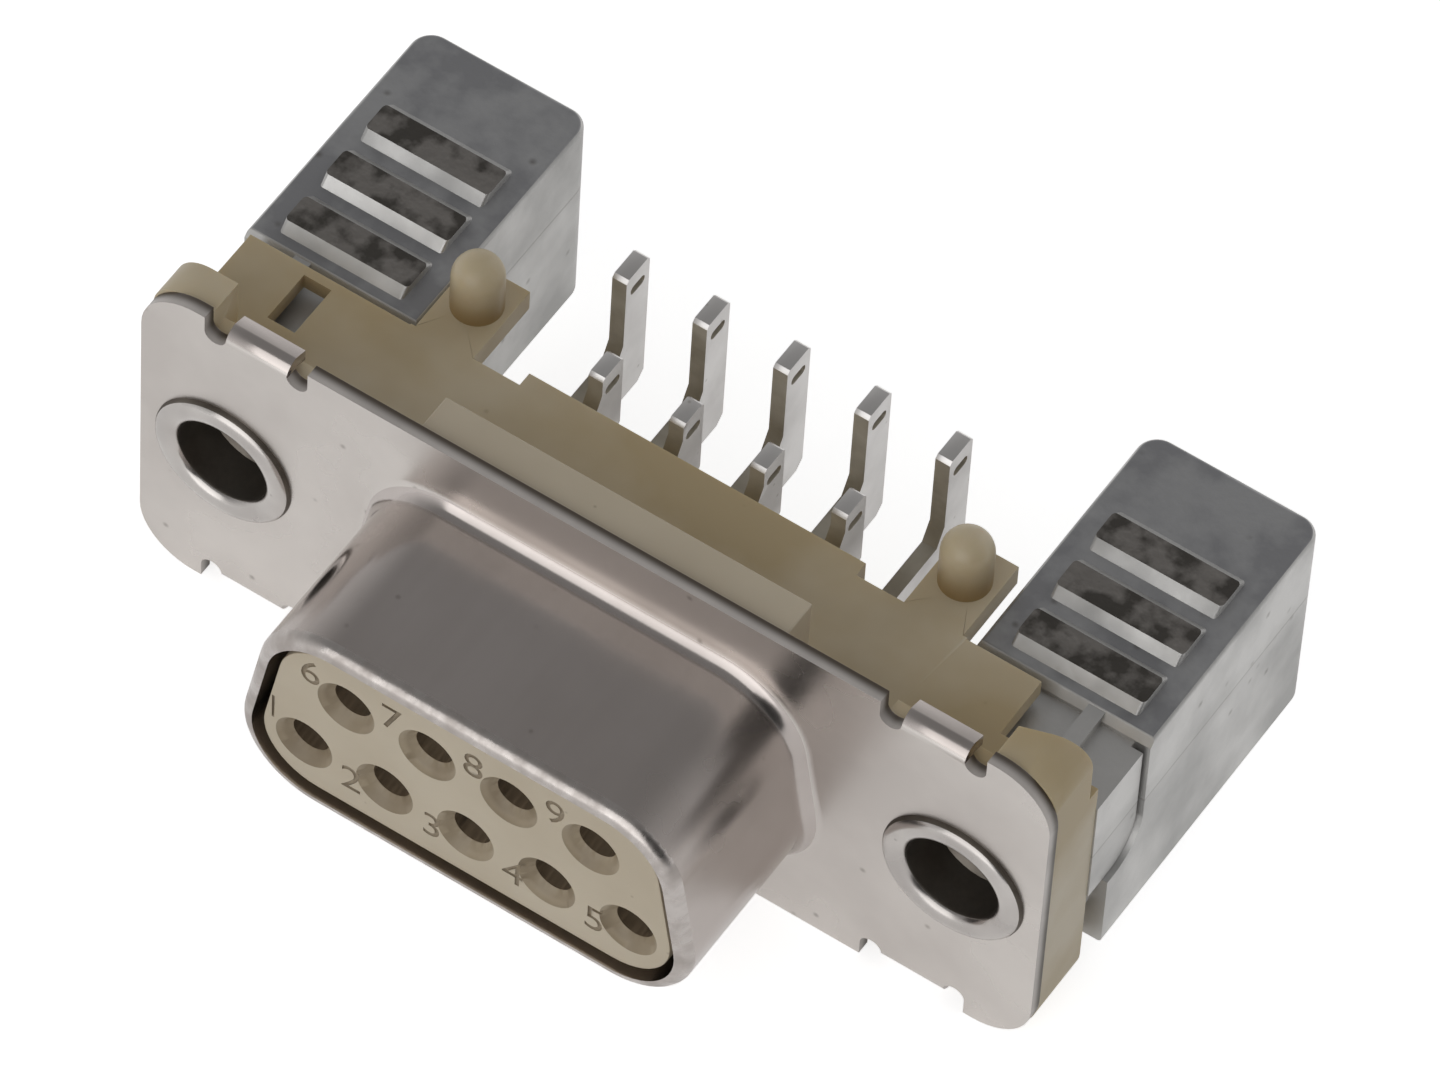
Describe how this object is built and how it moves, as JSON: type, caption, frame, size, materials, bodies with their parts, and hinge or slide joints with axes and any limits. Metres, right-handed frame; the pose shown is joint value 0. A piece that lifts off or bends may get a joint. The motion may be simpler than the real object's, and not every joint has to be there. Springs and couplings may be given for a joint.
{
  "type": "angled d-sub socket connector",
  "caption": "Right-angle board-mount D-shaped socket connector with a drawn steel shell, ivory moulding, bent tails, board pegs and cast side brackets with threaded bushes.",
  "frame": {"origin": "centre of the flange's front face, midway between the two threaded bushes", "axes": "+X along the flange, +Y back from the mating face, +Z the way the board tails and pegs point"},
  "size_m": [0.031, 0.0206, 0.0126],
  "materials": {
    "shell_steel": "satin nickel over drawn steel",
    "insulator_ivory": "moulded ivory thermoplastic",
    "housing_ivory": "moulded ivory thermoplastic",
    "bracket_zinc": "as-cast zinc alloy, nickel plated",
    "bush_steel": "bright nickel over turned steel",
    "contact_tin": "matt tin over stamped copper alloy"
  },
  "bodies": {
    "root": {"contact_1": "contact_tin", "contact_2": "contact_tin", "contact_3": "contact_tin", "contact_4": "contact_tin", "contact_5": "contact_tin", "contact_6": "contact_tin", "contact_7": "contact_tin", "contact_8": "contact_tin", "contact_9": "contact_tin", "front_insulator": "insulator_ivory", "front_shell": "shell_steel", "left_bracket": "bracket_zinc", "left_bush": "bush_steel", "rear_housing": "housing_ivory", "right_bracket": "bracket_zinc", "right_bush": "bush_steel"}
  },
  "joints": []
}
